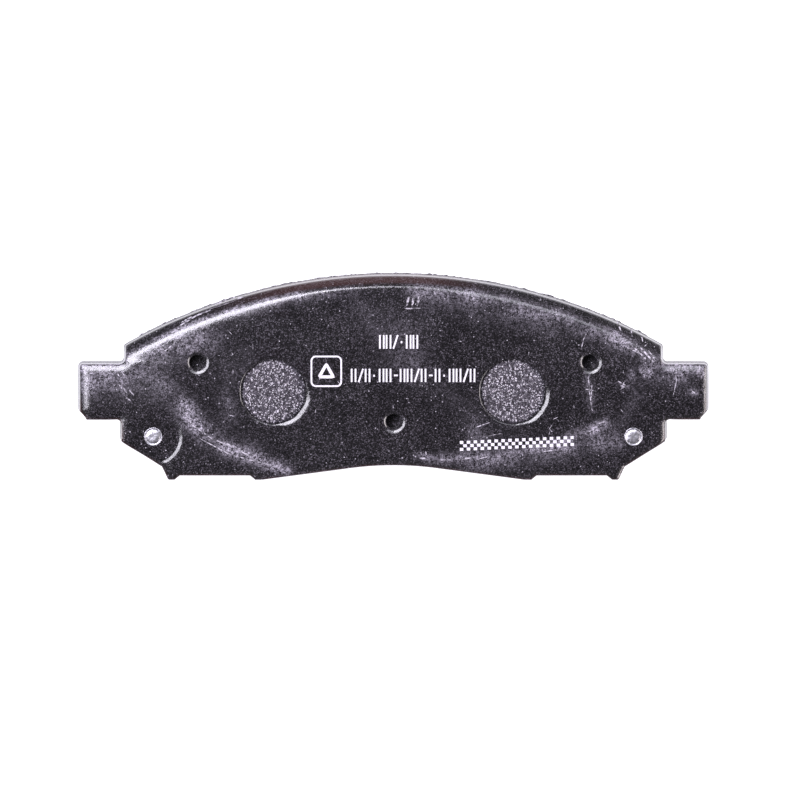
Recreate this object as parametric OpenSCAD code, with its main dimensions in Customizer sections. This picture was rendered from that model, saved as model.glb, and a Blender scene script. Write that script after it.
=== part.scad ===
// Disc brake pad, lying on its friction face: X along the pad, +Y outwards to the rim of the disc,
// +Z from the disc to the piston. The origin is the middle of the pad's footprint, on the friction face.

/* [Overall] */
// Length over the two ears
pad_len = 170; // [156:0.5:220]
// Thickness of the whole pad, friction face to back face
pad_t = 16.5; // [13:0.1:22]
// Length of the body between its upper shoulders
body_len = 145.4; // [118:0.2:148]
// Radius of the arch, which follows the rim of the disc
disc_r = 147; // [140:0.5:180]
// Height of the arch above the middle of the ears
arch_rise = 31.4; // [30:0.2:40]

/* [Backing plate] */
// Thickness of the steel plate
plate_t = 6; // [4.5:0.1:7.5]
// Width of the 45 degree chamfer along the arch
arch_chamfer = 2.8; // [1:0.1:4]
// Height of an ear, across the slot that it slides in
ear_h = 15.4; // [12:0.1:16]
// Cut across the lower corner of an ear
ear_cut = 2.3; // [0.5:0.1:4]
// Round on the upper corner of an ear
ear_round = 1.5; // [0.5:0.1:3]
// Fillet in the corners between the ears and the body
root_fillet = 1.1; // [0.6:0.1:1.6]
// Round on the shoulders of the body
shoulder_round = 1.2; // [0.5:0.1:2]
// How far the lower shoulders stand out past the upper ones
lower_shoulder_step = 1.1; // [0:0.1:1.5]
// Depth of the lower shoulders below the middle of the ears
lower_shoulder_y = 13.5; // [12:0.1:16]
// Depth of the feet below the middle of the ears
foot_y = 24; // [22.5:0.1:28]
// Width of a foot along its tip
foot_w = 2; // [1:0.1:3]
// How far the lower edge is set back between two feet
foot_step = 1.15; // [0.5:0.05:1.4]
// Distance of the middle feet from the middle of the pad
middle_foot_x = 35.3; // [28:0.1:38]
// Height above the feet at which the hollow's two slopes would meet, between the middle feet
hollow_rise = 4.7; // [2:0.1:6]
// Radius of the round that joins the hollow's two slopes
hollow_round = 88; // [20:1:120]

/* [Lining] */
// Thickness of the underlayer between the plate and the friction material
underlayer_t = 2.2; // [1.6:0.1:3]
// Thickness of the adhesive film
film_t = 0.15; // [0.1:0.01:0.3]
// Set-back of the friction material from the edge of the plate
lining_inset = 1.2; // [0.8:0.1:3]
// How far the underlayer's flash spreads past the friction material
flash = 0.4; // [0:0.1:0.7]
// Width of the slot between the two friction segments
slot_w = 3; // [2:0.1:5]
// Lean of the lining's ends away from the middle line, in degrees
end_lean = 18.6; // [12:0.2:22]
// Round on the lower outer corners of the lining
lining_round = 3; // [1:0.5:5]
// Width of the lead-in chamfer at the outer end of each segment
lead_w = 9; // [4:0.5:14]
// Height of the lead-in chamfer
lead_h = 3; // [1:0.5:4]

/* [Keying of the lining to the plate] */
// Diameter of the two holes that the underlayer fills
key_hole_d = 17.4; // [12:0.1:21]
// Distance of a filled hole in from the upper shoulder
key_hole_in = 40.5; // [36:0.1:46]
// How far the filling stays below the back face
fill_recess = 1.2; // [0.2:0.1:2]
// Mouth diameter of the pressed recesses in the back face
recess_d = 6.6; // [5:0.1:8]
// Floor diameter of the pressed recesses
recess_floor_d = 4.2; // [3:0.1:4.8]
// Depth of the pressed recesses
recess_depth = 4; // [2:0.1:4.4]
// Diameter of the knobs that the recesses raise on the friction side
knob_d = 6; // [4:0.1:7.5]
// Underlayer left under each knob
knob_cover = 0.7; // [0.4:0.1:1]
// Distance of the two outer recesses in from the upper shoulder
outer_recess_in = 19.9; // [18:0.1:24]
// Height of the outer recesses above the middle of the ears
outer_recess_y = 7.9; // [6:0.1:9]
// Depth of the middle recess below the middle of the ears
middle_recess_y = 8.1; // [5:0.1:9]

/* [Wear indicators] */
// Diameter of the rivet holes
rivet_hole_d = 4.4; // [3:0.1:5.4]
// Distance of a rivet in from the upper shoulder
rivet_in = 8.1; // [7.5:0.1:9]
// Depth of the rivets below the middle of the ears
rivet_y = 12.2; // [11:0.1:12.5]
// How far a rivet's end is spread past its hole, at the back face
rivet_spread = 0.35; // [0.1:0.05:0.6]
// Depth of the countersink that the spread end fills
rivet_spread_h = 0.7; // [0.4:0.1:1.2]
// Rim of a rivet's head round its hole, on the friction side
rivet_rim = 1.4; // [1:0.1:1.6]
// Height of a rivet's head
rivet_head_h = 1.1; // [0.8:0.1:1.6]
// Diameter of the coined seat round the left rivet
coin_d = 15; // [9:0.5:15]
// Depth of the coined seat
coin_depth = 0.3; // [0.1:0.05:0.5]
// Thickness of the spring steel strip
strip_t = 1; // [0.7:0.05:1.2]
// Width of the strip
strip_w = 7.8; // [7:0.1:9]
// Width of the strip at its tip
strip_tip_w = 6; // [4:0.1:7]
// Gap between the strip and the end of the lining
strip_gap = 1.2; // [0.8:0.1:2]
// Length of the flat part beyond the rivet
strip_flat = 5.5; // [5:0.1:7]
// Length of the free arm
strip_arm = 8.5; // [6:0.1:9]
// Slope of the free arm away from the plate, in degrees
arm_slope = 9; // [5:0.5:12]
// Lining left when the indicator's tip touches the disc
wear_limit = 3.2; // [2.8:0.1:5]

/* [Clearances] */
// Gap round the fillings, the knobs and the rivets
seat_gap = 0.05; // [0.02:0.01:0.1]

/* [Hidden] */

$fn = 96;
past = 1;                  // overshoot of every cut
corner_steps = 5;          // straight pieces in a rounded corner of an outline

// Heights of the layers
plate_z = pad_t - plate_t;
film_z = plate_z - film_t;
underlayer_z = film_z - underlayer_t;
knob_z = underlayer_z + knob_cover;

// Places on the pad, across from the middle of the ears
ear_y = (foot_y - arch_rise) / 2;       // of the ears themselves, in the pad's frame
disc_y = ear_y + arch_rise - disc_r;    // axis of the disc

// Half lengths
tip = pad_len / 2;
half_body = body_len / 2;
half_low = half_body + lower_shoulder_step;
outer_foot_x = half_body - 11.9;        // outer side of an outer foot
foot_slope = 1.4;                       // run of a foot's slope to the set-back edge
outer_slope = [1.8, 3.6];               // run and rise of an outer foot's outer side

// Where the arch meets the shoulders, above the middle of the ears, and its slope there
shoulder_y = sqrt(pow(disc_r, 2) - pow(half_body, 2)) + arch_rise - disc_r;
arch_slope = half_body / sqrt(pow(disc_r, 2) - pow(half_body, 2));

key_hole_r = key_hole_d / 2;
key_hole_x = half_body - key_hole_in;
outer_recess_x = half_body - outer_recess_in;
rivet_x = half_body - rivet_in;
rivet_hole_r = rivet_hole_d / 2;
lining_end = strip_w / 2 + strip_gap;   // from a rivet's axis to the end of the lining
arm_end = strip_flat + strip_arm * cos(arm_slope);

black_paint = [0.15, 0.15, 0.16];
adhesive_brown = [0.36, 0.27, 0.19];
underlayer_grey = [0.44, 0.42, 0.40];
friction_grey = [0.28, 0.28, 0.28];
spring_steel = [0.56, 0.58, 0.61];
zinc = [0.78, 0.79, 0.81];

// An outline's points, from corners given as [x, y, radius]
function flat(p) = [p.x, p.y];
function toward(a, b) = (b - a) / norm(b - a);
function round_corner(before, at, after, r) =
    let (u = toward(at, before), v = toward(at, after),
         half_angle = acos(u * v) / 2,
         centre = at + (u + v) / norm(u + v) * r / sin(half_angle),
         back = toward(centre, at),
         sweep = (90 - half_angle) * sign(cross(v, u)))
    [for (i = [0 : corner_steps])
        let (a = (2 * i / corner_steps - 1) * sweep)
        centre + r * [back.x * cos(a) - back.y * sin(a), back.x * sin(a) + back.y * cos(a)]];
function rounded(corners) =
    let (n = len(corners))
    [for (i = [0 : n - 1])
        let (before = flat(corners[(i + n - 1) % n]), at = flat(corners[i]),
             after = flat(corners[(i + 1) % n]), r = corners[i][2])
        each (r > 0 ? round_corner(before, at, after, r) : [at])];

module both_sides() {
    children();
    mirror([1, 0, 0]) children();
}

module at_knobs() {
    translate([0, ear_y - middle_recess_y, 0]) children();
    both_sides() translate([outer_recess_x, ear_y + outer_recess_y, 0]) children();
}

// At the right rivet, with +Y along the end of the lining
module at_rivet() {
    translate([rivet_x, ear_y - rivet_y, 0]) rotate([0, 0, -end_lean]) children();
}

// Outline of the right half of the plate, before the arch and the hollow are cut
module half_plate() {
    translate([0, ear_y]) polygon(rounded([
        [0, -foot_y, 0],
        [middle_foot_x + foot_w, -foot_y, 0.4],
        [middle_foot_x + foot_w + foot_slope, foot_step - foot_y, 0.4],
        [outer_foot_x - foot_w - foot_slope, foot_step - foot_y, 0.4],
        [outer_foot_x - foot_w, -foot_y, 0.4],
        [outer_foot_x, -foot_y, 0.4],
        [outer_foot_x + outer_slope.x, outer_slope.y - foot_y, 0.8],
        [half_low, -lower_shoulder_y, shoulder_round],
        [half_low, -ear_h / 2, root_fillet],
        [tip - ear_cut, -ear_h / 2, ear_cut / 3],
        [tip, ear_cut - ear_h / 2, ear_cut / 3],
        [tip, ear_h / 2, ear_round],
        [half_body, ear_h / 2, root_fillet],
        [half_body, shoulder_y, shoulder_round],
        [0, shoulder_y + half_body * arch_slope, 0]
    ]));
}

// The hollow between the middle feet; its slopes run on a little below them
module hollow(lift = 0) {
    run_on = 1.2;
    end = [run_on * middle_foot_x, hollow_rise * (1 - run_on)];
    translate([0, ear_y - foot_y + lift]) polygon(rounded([
        [-end.x, end.y, 0], [0, hollow_rise, hollow_round], [end.x, end.y, 0]
    ]));
}

module plate_outline() {
    difference() {
        both_sides() half_plate();
        hollow();
    }
}

// Everything that the arch and its chamfer leave, with the ears kept whole
module arch_form() {
    translate([0, disc_y, -past]) {
        cylinder(r = disc_r, h = plate_t - arch_chamfer + past);
        translate([0, 0, plate_t - arch_chamfer + past])
            cylinder(r1 = disc_r, r2 = disc_r - arch_chamfer - past, h = arch_chamfer + past);
    }
    inner = half_body + root_fillet / 2;
    both_sides() translate([inner, ear_y - ear_h, -past])
        cube([tip + past - inner, 2 * ear_h, plate_t + 2 * past]);
}

module rivet_hole(seat_z) {
    at_rivet() {
        translate([0, 0, -past]) cylinder(r = rivet_hole_r, h = pad_t + 2 * past);
        translate([0, 0, seat_z - rivet_spread_h])
            cylinder(r1 = rivet_hole_r, r2 = rivet_hole_r + rivet_spread, h = rivet_spread_h);
    }
}

// Steel plate: the two filled holes, three pressed recesses with their knobs, and two rivet holes
module backing_plate() {
    color(black_paint) difference() {
        union() {
            translate([0, 0, plate_z]) intersection() {
                linear_extrude(plate_t) plate_outline();
                arch_form();
            }
            at_knobs() translate([0, 0, knob_z]) cylinder(d = knob_d, h = plate_z + past - knob_z);
        }
        both_sides() translate([key_hole_x, ear_y, plate_z - past])
            cylinder(r = key_hole_r, h = plate_t + 2 * past);
        at_knobs() translate([0, 0, pad_t - recess_depth])
            cylinder(d1 = recess_floor_d, d2 = recess_d, h = recess_depth);
        rivet_hole(pad_t);
        mirror([1, 0, 0]) {
            rivet_hole(pad_t - coin_depth);
            at_rivet() translate([0, 0, pad_t - coin_depth]) cylinder(d = coin_d, h = coin_depth + past);
        }
    }
}

// Outline of the lining; spread is how far it reaches past the friction material's own edge
module lining_outline(spread = 0) {
    inset = lining_inset - spread;
    low = foot_step - foot_y + inset;
    high = arch_rise + past;
    at_end = lining_end - spread;
    // x of the leaning end, at a height above the middle of the ears
    function end_x(y) = rivet_x - at_end / cos(end_lean) + (y + rivet_y) * tan(end_lean);
    difference() {
        intersection() {
            translate([0, disc_y]) circle(disc_r - inset);
            translate([0, ear_y]) polygon(rounded([
                [-end_x(low), low, lining_round],
                [end_x(low), low, lining_round],
                [end_x(high), high, 0],
                [-end_x(high), high, 0]
            ]));
        }
        hollow(inset);
    }
}

// Heat-cured adhesive between the plate and the underlayer
module bond_film() {
    color(adhesive_brown) translate([0, 0, film_z]) difference() {
        linear_extrude(film_t) lining_outline(flash);
        both_sides() translate([key_hole_x, ear_y, -past]) cylinder(r = key_hole_r, h = film_t + 2 * past);
        at_knobs() translate([0, 0, -past]) cylinder(r = knob_d / 2 + seat_gap, h = film_t + 2 * past);
    }
}

// Underlayer, moulded through the plate's two holes and round its knobs
module underlayer() {
    color(underlayer_grey) difference() {
        union() {
            translate([0, 0, underlayer_z]) linear_extrude(underlayer_t) lining_outline(flash);
            both_sides() translate([key_hole_x, ear_y, underlayer_z])
                cylinder(r = key_hole_r - seat_gap, h = pad_t - fill_recess - underlayer_z);
        }
        at_knobs() translate([0, 0, knob_z - seat_gap])
            cylinder(r = knob_d / 2 + seat_gap, h = film_z + past - knob_z + seat_gap);
    }
}

// One block of friction material, from the middle slot to the leaning end with its lead-in chamfer
module friction_segment() {
    color(friction_grey) difference() {
        linear_extrude(underlayer_z) intersection() {
            lining_outline();
            translate([slot_w / 2, -pad_len]) square(2 * pad_len);
        }
        at_rivet() translate([-lining_end, pad_len, 0]) rotate([90, 0, 0]) linear_extrude(2 * pad_len)
            polygon([[-lead_w, 0], [-lead_w, -past], [past, -past], [past, lead_h * (1 + past / lead_w)]]);
    }
}

module friction_segment_left() {
    mirror([1, 0, 0]) friction_segment();
}

module friction_segment_right() {
    friction_segment();
}

// Spring steel strip under the rivet's head, with an arm that ends in a tip bent down to the disc
module wear_indicator() {
    drop = strip_arm * sin(arm_slope);
    under = drop + strip_t / cos(arm_slope) - strip_t * tan(arm_slope);
    color(spring_steel) at_rivet() translate([0, 0, plate_z]) difference() {
        intersection() {
            rotate([90, 0, 90]) translate([0, 0, -strip_w / 2]) linear_extrude(strip_w)
                polygon(rounded([
                    [-strip_w / 2, 0, 0],
                    [strip_flat, 0, 3],
                    [arm_end, -drop, strip_t],
                    [arm_end, -wear_limit, 0],
                    [arm_end - strip_t, -wear_limit, 0],
                    [arm_end - strip_t, -under, 0.3],
                    [strip_flat - strip_t * tan(arm_slope / 2), -strip_t, 3],
                    [-strip_w / 2, -strip_t, 0]
                ]));
            translate([0, 0, -wear_limit - past]) linear_extrude(wear_limit + 2 * past) {
                circle(d = strip_w);
                polygon([[-strip_w / 2, 0], [strip_w / 2, 0], [strip_w / 2, strip_flat],
                         [strip_tip_w / 2, arm_end], [strip_tip_w / 2, arm_end + past],
                         [-strip_tip_w / 2, arm_end + past], [-strip_tip_w / 2, arm_end],
                         [-strip_w / 2, strip_flat]]);
            }
        }
        translate([0, 0, -strip_t - past]) cylinder(r = rivet_hole_r, h = strip_t + 2 * past);
    }
}

module wear_indicator_left() {
    mirror([1, 0, 0]) wear_indicator();
}

module wear_indicator_right() {
    wear_indicator();
}

// Rivet from its head under the strip to its spread end in the countersink
module rivet(seat_z) {
    head_r = rivet_hole_r + rivet_rim;
    head_z = plate_z - strip_t - rivet_head_h;
    shank_r = rivet_hole_r - seat_gap;
    color(zinc) at_rivet() {
        translate([0, 0, head_z]) cylinder(r1 = head_r - rivet_head_h / 2, r2 = head_r, h = rivet_head_h / 2);
        translate([0, 0, head_z + rivet_head_h / 2]) cylinder(r = head_r, h = rivet_head_h / 2);
        translate([0, 0, head_z]) cylinder(r = shank_r, h = seat_z - head_z);
        translate([0, 0, seat_z - rivet_spread_h])
            cylinder(r1 = shank_r, r2 = shank_r + rivet_spread, h = rivet_spread_h);
    }
}

module rivet_left() {
    mirror([1, 0, 0]) rivet(pad_t - coin_depth);
}

module rivet_right() {
    rivet(pad_t);
}

backing_plate();
bond_film();
underlayer();
friction_segment_left();
friction_segment_right();
wear_indicator_left();
wear_indicator_right();
rivet_left();
rivet_right();
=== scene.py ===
import functools
import math

import bmesh
import bpy
import numpy as np
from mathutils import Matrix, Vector, geometry, noise


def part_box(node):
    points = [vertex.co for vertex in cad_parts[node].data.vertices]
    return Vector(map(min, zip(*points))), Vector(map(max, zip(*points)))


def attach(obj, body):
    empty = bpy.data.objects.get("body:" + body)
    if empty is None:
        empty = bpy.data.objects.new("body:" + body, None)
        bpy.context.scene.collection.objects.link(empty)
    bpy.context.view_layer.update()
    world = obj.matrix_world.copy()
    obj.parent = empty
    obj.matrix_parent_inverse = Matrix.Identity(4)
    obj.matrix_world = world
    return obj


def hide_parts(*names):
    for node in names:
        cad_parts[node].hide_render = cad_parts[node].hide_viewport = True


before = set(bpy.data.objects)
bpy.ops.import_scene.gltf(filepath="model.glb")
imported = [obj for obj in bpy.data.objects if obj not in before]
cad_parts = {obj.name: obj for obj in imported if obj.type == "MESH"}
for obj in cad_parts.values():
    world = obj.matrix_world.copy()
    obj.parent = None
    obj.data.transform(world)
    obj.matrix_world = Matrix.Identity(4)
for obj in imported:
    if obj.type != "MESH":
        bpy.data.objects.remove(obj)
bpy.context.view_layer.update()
print("frame loaded")

# Everything below is in millimetres until a mesh is made, then this takes it to metres.
metresPerMm = 0.001


def boxInMm(node):
    low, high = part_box(node)
    return np.array(low) / metresPerMm, np.array(high) / metresPerMm


plateLow, plateHigh = boxInMm("backing_plate")
filmLow, filmHigh = boxInMm("bond_film")

backZ = plateHigh[2]                        # the face that the caliper's pistons push on
plateZ = filmHigh[2]                        # lower face of the steel plate
liningZ = filmLow[2]                        # lower face of the adhesive
blockZ = boxInMm("underlayer")[0][2]        # top of the two blocks


# Shapes in the plane: outlines, distances and triangles.

def unit(v):
    return v / np.linalg.norm(v)


def unitRows(vectors):
    return vectors / np.linalg.norm(vectors, axis=1)[:, None]


def awayFrom(points, centre):
    return np.linalg.norm(points - centre, axis=1)


def roundCorner(before, at, after, radius, steps=7):
    u, v = unit(before - at), unit(after - at)
    halfAngle = math.acos(np.clip(u @ v, -1, 1)) / 2
    centre = at + unit(u + v) * radius / math.sin(halfAngle)
    back = unit(at - centre)
    sweep = (math.pi / 2 - halfAngle) * np.sign(v[0] * u[1] - v[1] * u[0])
    angles = [(2 * i / steps - 1) * sweep for i in range(steps + 1)]
    return [centre + radius * np.array([back[0] * math.cos(a) - back[1] * math.sin(a),
                                        back[0] * math.sin(a) + back[1] * math.cos(a)]) for a in angles]


# A closed outline from corners (x, y, radius), with no edge longer than step.
def outlineFrom(corners, step):
    count = len(corners)
    rounded = []
    for i in range(count):
        before, at, after = [np.array(corners[(i + k) % count][:2], float) for k in (-1, 0, 1)]
        radius = corners[i][2]
        rounded += roundCorner(before, at, after, radius) if radius else [at]
    points = []
    for a, b in zip(rounded, rounded[1:] + rounded[:1]):
        pieces = max(1, math.ceil(np.linalg.norm(b - a) / step))
        points += [a + (b - a) * k / pieces for k in range(pieces)]
    return np.array(points)


# The right half's corners start and end on the middle line; this adds the left half.
def mirrored(half):
    return half + [(-x, y, r) for x, y, r in reversed(half) if x > 1e-9]


def arcCorners(centreY, radius, fromX, toX, step=1.5):
    xs = np.linspace(fromX, toX, max(2, math.ceil(abs(toX - fromX) / step)) + 1)
    return [(float(x), centreY + math.sqrt(radius ** 2 - x ** 2), 0) for x in xs]


def circleAt(centre, radius, count):
    angles = np.arange(count) * 2 * math.pi / count
    return np.array(centre) + radius * np.stack([np.cos(angles), np.sin(angles)], 1)


def inwardNormals(loop):
    tangent = unitRows(np.roll(loop, -1, axis=0) - loop)
    tangent = unitRows(tangent + unitRows(loop - np.roll(loop, 1, axis=0)))
    return np.stack([-tangent[:, 1], tangent[:, 0]], 1)


def distanceTo(points, line, closed=True):
    ends = np.roll(line, -1, axis=0)
    pairs = list(zip(line, ends))[:None if closed else -1]
    best = np.full(len(points), 1e9)
    for a, b in pairs:
        along = b - a
        t = np.clip(((points - a) @ along) / (along @ along + 1e-12), 0, 1)
        away = points - a - t[:, None] * along
        best = np.minimum(best, (away * away).sum(1))
    return np.sqrt(best)


def isInside(points, loop):
    result = np.zeros(len(points), bool)
    x, y = points[:, 0], points[:, 1]
    for (ax, ay), (bx, by) in zip(loop, np.roll(loop, -1, axis=0)):
        if ay != by:
            result ^= ((ay > y) != (by > y)) & (x < (bx - ax) * (y - ay) / (by - ay) + ax)
    return result


# A jittered grid inside an outline, off its edge and outside the given circles.
def scatter(loop, spacing, circles=(), margin=None, seed=1):
    rng = np.random.default_rng(seed)
    low, high = loop.min(0), loop.max(0)
    grid = np.stack(np.meshgrid(np.arange(low[0], high[0], spacing),
                                np.arange(low[1], high[1], spacing)), -1).reshape(-1, 2)
    grid = grid + rng.uniform(-0.28, 0.28, grid.shape) * spacing
    grid = grid[isInside(grid, loop)]
    for centre, radius in circles:
        grid = grid[awayFrom(grid, centre) > radius + 0.4 * spacing]
    edge = spacing * 0.6 if margin is None else margin
    return grid[distanceTo(grid, loop) > edge]


# Triangles between an outline and its holes, through the extra points.
def fillBetween(loop, holeLoops=(), extra=()):
    points, edges = [], []
    for ring in [loop, *holeLoops]:
        first = len(points)
        points += [Vector(p) for p in ring]
        edges += [(first + i, first + (i + 1) % len(ring)) for i in range(len(ring))]
    points += [Vector(p) for p in extra]
    flat, _, faces, *_ = geometry.delaunay_2d_cdt(points, edges, [], 1, 1e-6)
    flat = np.array([(p.x, p.y) for p in flat])
    faces = np.array([f for f in faces if len(f) == 3])
    middles = flat[faces].mean(axis=1)
    keep = isInside(middles, loop)
    for ring in holeLoops:
        keep &= ~isInside(middles, ring)
    return flat, faces[keep]


def withZ(flat, z):
    return np.column_stack([flat, np.broadcast_to(z, len(flat))])


# How far below the face a rounded edge lies, at a distance from the edge.
def edgeRound(distance, radius, depth):
    t = np.clip(1 - distance / radius, 0, 1)
    return depth * (1 - np.sqrt(1 - t * t))


def softStep(x, low, high):
    t = np.clip((x - low) / (high - low), 0, 1)
    return t * t * (3 - 2 * t)


# Smooth noise from -1 to 1, over features of that many millimetres.
def wobble(points, size, seed=0):
    shift = Vector((seed * 7.31, seed * 3.17, seed * 5.71))
    full = np.column_stack([points, np.zeros((len(points), 3 - points.shape[1]))])
    return np.array([noise.noise(Vector(p) / size + shift) for p in full])


def addObject(name, data):
    made = bpy.data.objects.new(name, data)
    bpy.context.scene.collection.objects.link(made)
    return made


# Gathers the faces of one piece in millimetres, welds them and makes the object.
class PieceMesh:
    def __init__(self):
        self.points, self.faces, self.count = [], [], 0

    def add(self, points, faces):
        self.points.append(np.asarray(points, float))
        self.faces += [tuple(self.count + int(i) for i in face) for face in faces]
        self.count += len(points)

    # Fills an outline round its holes; height is a number, or a function of the places.
    def sheet(self, height, loop, holeLoops=(), extra=()):
        flat, faces = fillBetween(loop, holeLoops, extra)
        self.add(withZ(flat, height(flat) if callable(height) else height), faces)

    def band(self, rings):
        n = len(rings[0])
        faces = [(k * n + i, k * n + (i + 1) % n, (k + 1) * n + (i + 1) % n, (k + 1) * n + i)
                 for k in range(len(rings) - 1) for i in range(n)]
        self.add(np.concatenate(rings), faces)

    def cap(self, ring, middle):
        n = len(ring)
        self.add(np.vstack([ring, middle]), [(i, (i + 1) % n, n) for i in range(n)])

    def build(self, name, material, sharpAngle=35, mirror=False):
        points = np.concatenate(self.points) * metresPerMm
        if mirror:
            points = points * (-1, 1, 1)
        mesh = bpy.data.meshes.new(name)
        mesh.from_pydata([tuple(p) for p in points], [], self.faces)
        work = bmesh.new()
        work.from_mesh(mesh)
        bmesh.ops.remove_doubles(work, verts=work.verts, dist=0.003 * metresPerMm)
        bmesh.ops.dissolve_degenerate(work, edges=work.edges, dist=1e-8)
        bmesh.ops.recalc_face_normals(work, faces=work.faces)
        openEdges = sum(1 for edge in work.edges if len(edge.link_faces) != 2)
        work.to_mesh(mesh)
        work.free()
        mesh.polygons.foreach_set("use_smooth", [True] * len(mesh.polygons))
        mesh.set_sharp_from_angle(angle=math.radians(sharpAngle))
        mesh.materials.append(material)
        print(f"{name}: {len(mesh.polygons)} faces, {openEdges} open edges")
        return addObject(name, mesh)


# Materials. Noise and cell sizes are in millimetres: a texture's scale is one over its grain.

def linear(hexColour):
    parts = [int(hexColour[i:i + 2], 16) / 255 for i in (1, 3, 5)]
    return tuple(c / 12.92 if c <= 0.04045 else ((c + 0.055) / 1.055) ** 2.4 for c in parts) + (1,)


mainOutput = {"ShaderNodeMix": 2, "ShaderNodeAttribute": "Fac"}       # every other node's is its first


# A node with its settings. An input is a value, a colour in hex, a socket, or a node for its main output.
def addNode(tree, kind, inputs=None, **settings):
    node = tree.nodes.new("ShaderNode" + kind)
    if kind == "Mix":
        node.data_type = "RGBA"
    for name, value in settings.items():
        setattr(node, name, value)
    for socket, value in (inputs or {}).items():
        if isinstance(value, bpy.types.Node):
            value = value.outputs[mainOutput.get(value.bl_idname, 0)]
        if isinstance(value, bpy.types.NodeSocket):
            tree.links.new(value, node.inputs[socket])
        else:
            node.inputs[socket].default_value = linear(value) if isinstance(value, str) else value
    return node


# An empty material, the call that adds a node to it, and the place on the piece in millimetres.
def newMaterial(name):
    material = bpy.data.materials.new(name)
    material.use_nodes = True
    material.node_tree.nodes.clear()
    add = functools.partial(addNode, material.node_tree)
    place = add("TexCoord").outputs["Object"]
    inMm = add("VectorMath", {0: place, "Scale": 1 / metresPerMm}, operation="SCALE")
    return material, add, inMm


def withSurface(material, shader):
    surface = addNode(material.node_tree, "BsdfPrincipled", shader)
    addNode(material.node_tree, "OutputMaterial", {"Surface": surface})
    return material


def blackEnamel():
    # Stoved black enamel, dipped and baked: nearly black and glossy. Its grain shows as fine pale salt, orange
    # peel breaks up the lights, handling rubs it grey, and a pale haze is painted in as highlights along the
    # arch and the upper-left shoulder.
    material, add, place = newMaterial("stoved_black_enamel")
    grain = add("TexNoise", {"Vector": place, "Scale": 1 / 0.27, "Detail": 1.0})
    cloud = add("TexNoise", {"Vector": place, "Scale": 1 / 12, "Detail": 3.0})
    tone = add("MapRange", {"Value": grain, "From Min": 0.36, "From Max": 0.70})
    body = add("Mix", {0: tone, 6: "#020202", 7: "#201e21"})

    # Salt: every cell of about a quarter millimetre has its own paleness, most of them very little,
    # in drifting patches. Then come larger and fewer specks of dust.
    cells = add("TexVoronoi", {"Vector": place, "Scale": 1 / 0.24})
    chance = add("SeparateColor", {0: cells.outputs["Color"]})
    salt = add("Math", {0: chance, 1: 6.0}, operation="POWER")
    patchy = add("MapRange", {"Value": cloud, "From Min": 0.35, "From Max": 0.65,
                              "To Min": 0.65, "To Max": 1.1})
    salted = add("Math", {0: salt, 1: patchy}, operation="MULTIPLY")
    pale = add("Mix", {0: salted, 6: body, 7: "#5a565e"})
    specks = add("TexVoronoi", {"Vector": place, "Scale": 1 / 0.6})
    pick = add("SeparateColor", {0: specks.outputs["Color"]})
    chosen = add("MapRange", {"Value": pick, "From Min": 0.93, "From Max": 1.0})
    middle = add("MapRange", {"Value": specks, "From Min": 0.32, "From Max": 0.18})
    dust = add("Math", {0: chosen, 1: middle}, operation="MULTIPLY")
    colour = add("Mix", {0: dust, 6: pale, 7: "#b3afb9"})

    # A thin reddish brown line runs along the lower edges, and a painted brown reflection lies on the chamfer.
    brownEdgeAndReflection = add("Attribute", attribute_name="brownEdgeAndReflection")
    brown = add("Mix", {0: brownEdgeAndReflection, 6: colour, 7: "#4a2b28"})

    # Rubbed places, and the painted highlights along the arch and the upper-left shoulder, are hazy, in broken
    # streaks, and duller than the rest; the torn wall is dullest.
    scuffAndHighlight = add("Attribute", attribute_name="scuffAndHighlight")
    streak = add("TexNoise", {"Vector": place, "Scale": 1 / 0.7, "Detail": 4.0, "Roughness": 0.9})
    broken = add("MapRange", {"Value": streak, "From Min": 0.44, "From Max": 0.60})
    uneven = add("MapRange", {"Value": chance.outputs[1], "To Min": 0.3, "To Max": 1.25})
    brokenScuffAndHighlight = add("Math", {0: scuffAndHighlight, 1: broken}, operation="MULTIPLY")
    haze = add("Math", {0: brokenScuffAndHighlight, 1: uneven}, operation="MULTIPLY", use_clamp=True)
    hazed = add("Mix", {0: haze, 6: brown, 7: "#b4aebc"})
    dull = add("MapRange", {"Value": cloud, "From Min": 0.3, "From Max": 0.7, "To Min": 0.14, "To Max": 0.22})
    duller = add("Math", {0: haze, 1: 0.35, 2: dull}, operation="MULTIPLY_ADD")
    torn = add("Attribute", attribute_name="torn")
    rough = add("Math", {0: torn, 1: 0.6, 2: duller}, operation="MULTIPLY_ADD")

    peel = add("TexNoise", {"Vector": place, "Scale": 1 / 0.9, "Detail": 3.0, "Roughness": 0.6})
    relief = add("Bump", {"Height": peel, "Strength": 1.0, "Distance": 0.04 * metresPerMm})
    fine = add("Bump", {"Height": grain, "Strength": 1.0, "Distance": 0.025 * metresPerMm, "Normal": relief})
    return withSurface(material, {"Base Color": hazed, "Roughness": rough, "Normal": fine, "IOR": 1.5,
                                  "Coat Weight": 0.5, "Coat Roughness": 0.07, "Coat Normal": fine})


def whiteInk():
    # Pad-printed white ink: thin and matt, with the enamel's grain showing through it.
    material, add, place = newMaterial("pad_printed_white_ink")
    worn = add("TexNoise", {"Vector": place, "Scale": 1 / 0.35, "Detail": 2.0})
    thin = add("MapRange", {"Value": worn, "From Min": 0.58, "From Max": 0.72})
    colour = add("Mix", {0: thin, 6: "#d3d0d8", 7: "#8b8791"})
    return withSurface(material, {"Base Color": colour, "Roughness": 0.55, "IOR": 1.48})


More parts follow.
